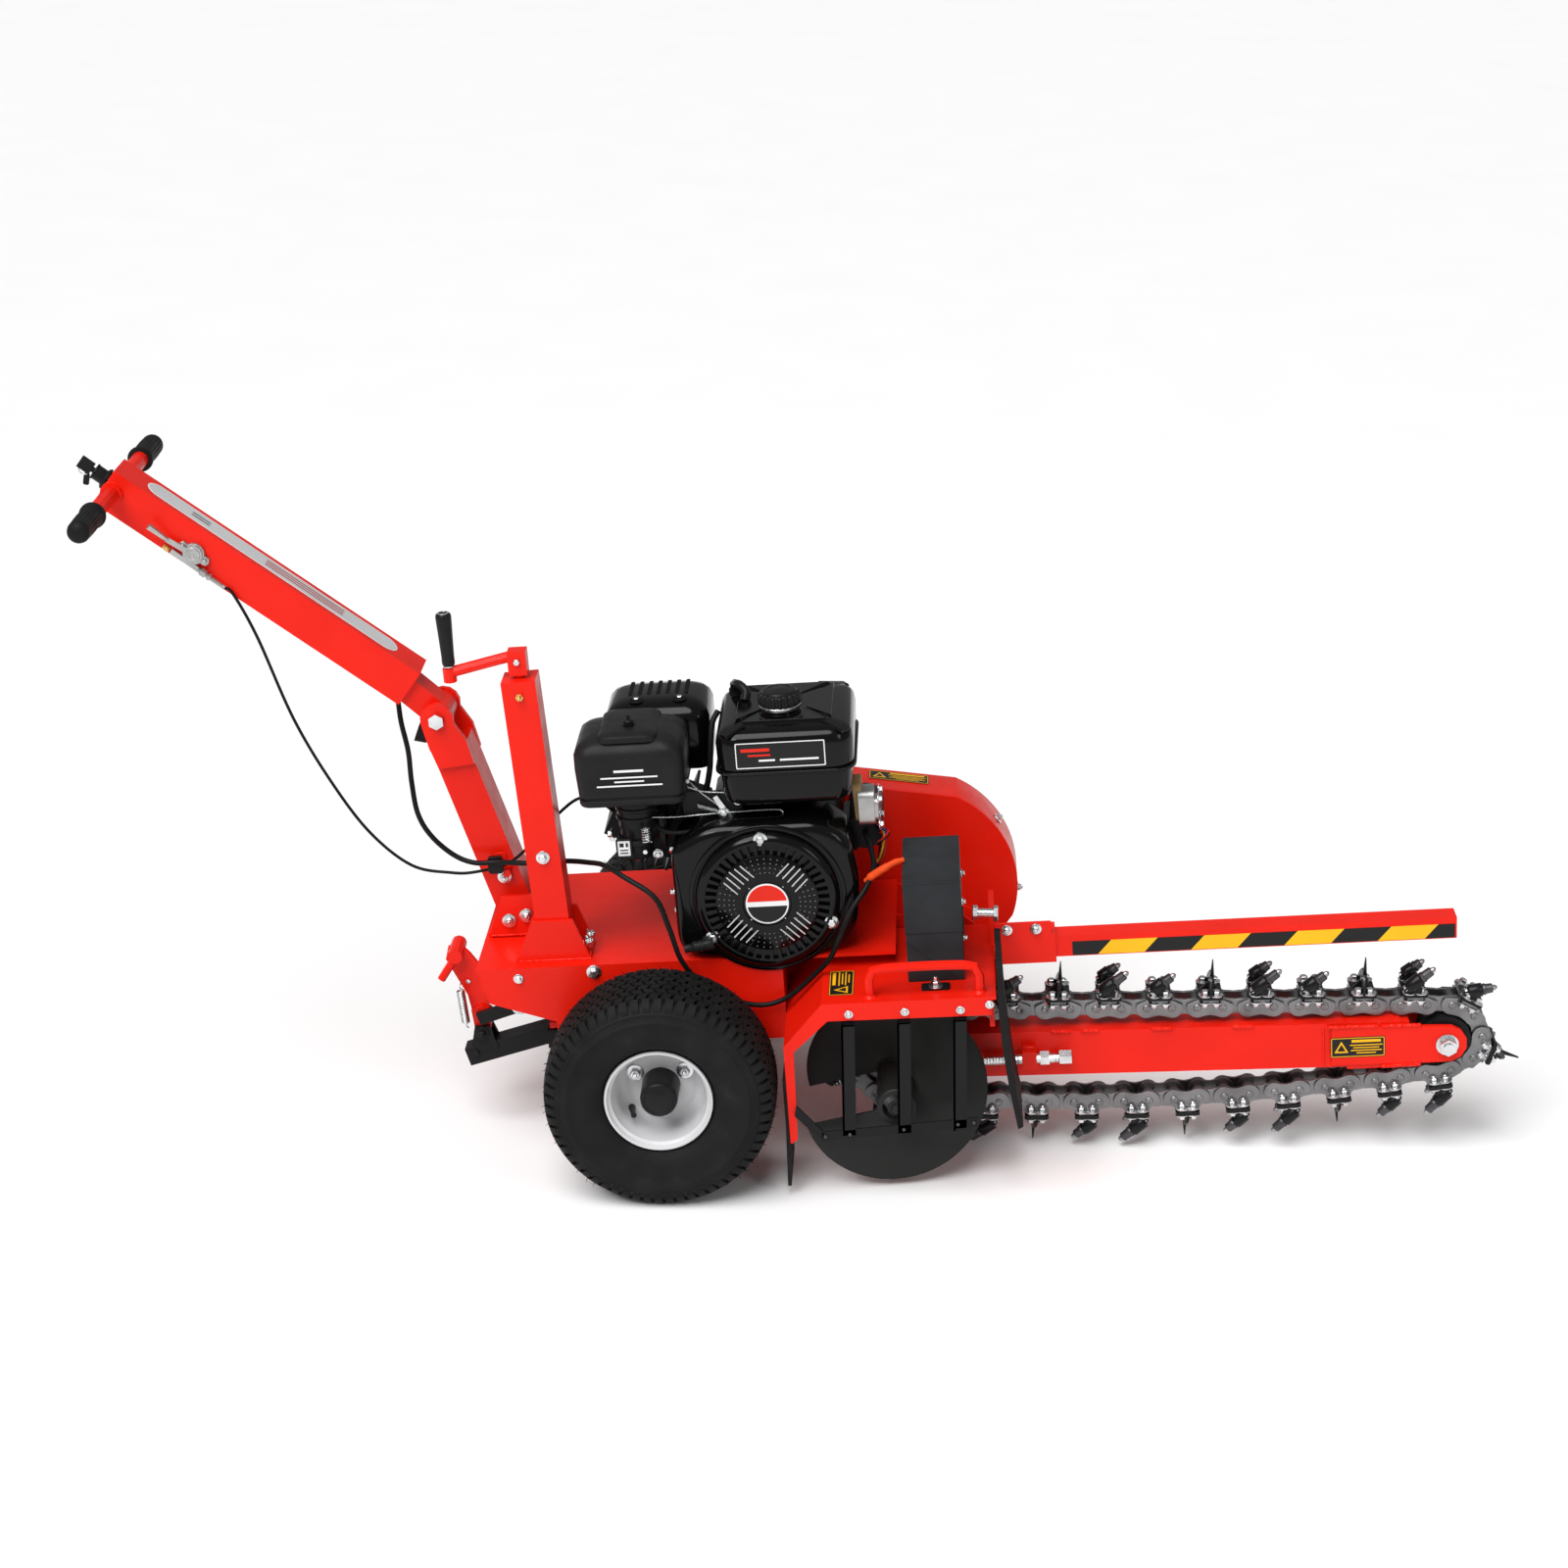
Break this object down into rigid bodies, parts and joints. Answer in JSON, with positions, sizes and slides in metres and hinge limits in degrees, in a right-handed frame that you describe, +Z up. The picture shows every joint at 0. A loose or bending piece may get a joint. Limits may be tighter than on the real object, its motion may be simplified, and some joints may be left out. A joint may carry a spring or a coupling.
{
  "type": "walk-behind trencher",
  "caption": "Walk-behind trencher with a petrol engine, belt and chain drive, digging chain on a boom, spoil auger, wheel jack and folding T-handle.",
  "frame": {"origin": "on the ground under the middle of the machine's overall box", "axes": "+X forwards along the boom, +Z up, +Y to the operator's left when walking behind facing the boom"},
  "size_m": [2.3755, 0.76, 1.1647],
  "materials": {
    "red_paint": "glossy powder coat, orange-red",
    "black_paint": "satin black powder coat",
    "gloss_black": "glossy black enamel",
    "black_plastic": "fine-grained moulded black",
    "rubber": "matte rubber",
    "grip_rubber": "ribbed soft rubber",
    "cable_black": "smooth cable sheath",
    "tyre": "new turf tyre",
    "rim_silver": "satin silver enamel",
    "zinc": "bright zinc plate",
    "cast_metal": "cast aluminium",
    "black_casting": "black-painted casting",
    "chain_steel": "bare heat-treated steel",
    "box_grey": "dark grey hammered paint"
  },
  "bodies": {
    "chassis": {"main_frame": "red_paint", "handle_column": "red_paint", "bump_stop": "rubber", "auger_hood": "red_paint", "auger_cage": "black_paint", "rear_flap": "rubber", "side_flap": "rubber", "belt_guard_back": "red_paint", "belt_guard_cover": "red_paint", "drive_belt": "rubber", "final_chain": "chain_steel", "chain_upper_strand": "chain_steel", "chain_lower_strand": "chain_steel", "boom_tube": "red_paint", "nose_bolt": "zinc", "tension_screw": "zinc", "safety_bar": "red_paint", "crankcase": "black_casting", "cylinder_block": "black_casting", "fan_shroud": "gloss_black", "recoil_cover": "gloss_black", "fuel_tank": "gloss_black", "air_filter_cover": "black_plastic", "carburettor": "black_plastic", "muffler": "cast_metal", "muffler_guard": "gloss_black", "starter_motor": "black_paint", "battery_box": "box_grey", "jack_tube": "red_paint", "pedal_spring": "zinc", "pivot_bolt": "zinc", "throttle_cable": "cable_black", "wiring_harness": "cable_black"},
    "handle": {"handle_beam": "red_paint", "grip_near": "grip_rubber", "grip_far": "grip_rubber", "throttle_body": "cast_metal", "key_switch": "black_plastic"},
    "throttle_lever": {"throttle_lever": "cast_metal"},
    "ignition_key": {"ignition_key": "black_plastic"},
    "crank": {"jack_crank": "red_paint"},
    "crank_grip": {"crank_grip": "black_plastic"},
    "jack_leg": {"jack_leg": "red_paint"},
    "carriage": {"wheel_carriage": "black_paint"},
    "wheel_near": {"tyre_near": "tyre", "rim_near": "rim_silver", "hub_near": "black_plastic"},
    "wheel_far": {"tyre_far": "tyre", "rim_far": "rim_silver", "hub_far": "black_plastic"},
    "pedal": {"latch_pedal": "red_paint"},
    "link": {"latch_link": "black_paint"},
    "drive": {"drive_shaft": "cast_metal", "drive_sprocket": "chain_steel", "auger": "black_paint"},
    "countershaft": {"countershaft": "cast_metal"},
    "clutch_pulley": {"clutch_pulley": "cast_metal"},
    "nose_roller": {"nose_roller": "black_paint"},
    "recoil_grip": {"recoil_grip": "black_plastic"},
    "fuel_cap": {"fuel_cap": "black_plastic"}
  },
  "joints": [
    {"name": "handle_pivot", "type": "hinge", "parent": "chassis", "child": "handle", "pos_m": [-0.61419, 0, 0.7277], "axis": [0, 1, 0], "range_deg": [0, 50], "deforming": ["throttle_cable", "wiring_harness"]},
    {"name": "throttle_turn", "type": "hinge", "parent": "handle", "child": "throttle_lever", "pos_m": [-0.9972, -0.046, 1.01204], "axis": [0, 1, 0], "range_deg": [0, 55]},
    {"name": "key_turn", "type": "hinge", "parent": "handle", "child": "ignition_key", "pos_m": [-1.16042, 0, 1.14037], "axis": [-0.7979, 0, 0.6028], "range_deg": [0, 60]},
    {"name": "crank_turn", "type": "hinge", "parent": "chassis", "child": "crank", "pos_m": [-0.46204, -0.136, 0.84128], "axis": [-0.0974, 0, 0.9952], "range_deg": [0, 7200]},
    {"name": "crank_grip_spin", "type": "hinge", "parent": "crank", "child": "crank_grip", "pos_m": [-0.57753, -0.136, 0.89427], "axis": [-0.0616, 0, 0.9981], "continuous": true},
    {"name": "jack_leg_slide", "type": "slide", "parent": "chassis", "child": "jack_leg", "axis": [0.0974, 0, -0.9952], "range_m": [0, 0.08]},
    {"name": "carriage_swing", "type": "hinge", "parent": "chassis", "child": "carriage", "pos_m": [-0.11473, 0, 0.18342], "axis": [0, -1, 0], "range_deg": [0, 16]},
    {"name": "wheel_near_spin", "type": "hinge", "parent": "carriage", "child": "wheel_near", "pos_m": [-0.2354, -0.305, 0.1905], "axis": [0, 1, 0], "continuous": true},
    {"name": "wheel_far_spin", "type": "hinge", "parent": "carriage", "child": "wheel_far", "pos_m": [-0.2354, 0.305, 0.1905], "axis": [0, 1, 0], "continuous": true},
    {"name": "pedal_press", "type": "hinge", "parent": "carriage", "child": "pedal", "pos_m": [-0.55713, -0.069, 0.17616], "axis": [0, -1, 0], "range_deg": [0, 22], "stiffness_Nm_per_rad": 6, "springref_deg": -14.32, "deforming": ["pedal_spring"]},
    {"name": "link_swing", "type": "hinge", "parent": "chassis", "child": "link", "pos_m": [-0.49022, -0.085, 0.22838], "axis": [0, 1, 0], "range_deg": [0, 35]},
    {"name": "drive_spin", "type": "hinge", "parent": "chassis", "child": "drive", "pos_m": [0.14792, 0, 0.16455], "axis": [0, 1, 0], "continuous": true, "deforming": ["chain_upper_strand", "chain_lower_strand"]},
    {"name": "countershaft_spin", "type": "hinge", "parent": "chassis", "child": "countershaft", "pos_m": [0.1693, 0, 0.37026], "axis": [0, 1, 0], "continuous": true},
    {"name": "clutch_pulley_spin", "type": "hinge", "parent": "chassis", "child": "clutch_pulley", "pos_m": [-0.06285, 0.167, 0.47917], "axis": [0, 1, 0], "continuous": true},
    {"name": "nose_roller_spin", "type": "hinge", "parent": "chassis", "child": "nose_roller", "pos_m": [1.059, -0.11, 0.20673], "axis": [0, 1, 0], "continuous": true},
    {"name": "recoil_pull", "type": "slide", "parent": "chassis", "child": "recoil_grip", "axis": [-0.2663, -0.9347, 0.2353], "range_m": [0, 0.15], "stiffness_N_per_m": 40, "springref_m": -0.02},
    {"name": "fuel_cap_turn", "type": "hinge", "parent": "chassis", "child": "fuel_cap", "pos_m": [-0.04413, -0.118, 0.79292], "axis": [-0.0616, 0, 0.9981], "range_deg": [0, 90]}
  ],
  "couplings": [
    {"joint": "jack_leg_slide", "follows": "crank_turn", "m_per_rad": 0.00063662},
    {"joint": "carriage_swing", "follows": "crank_turn", "ratio": 0.0022222},
    {"joint": "countershaft_spin", "follows": "drive_spin", "ratio": 1.7059},
    {"joint": "clutch_pulley_spin", "follows": "drive_spin", "ratio": 4.9208},
    {"joint": "nose_roller_spin", "follows": "drive_spin", "ratio": 1.3333}
  ]
}
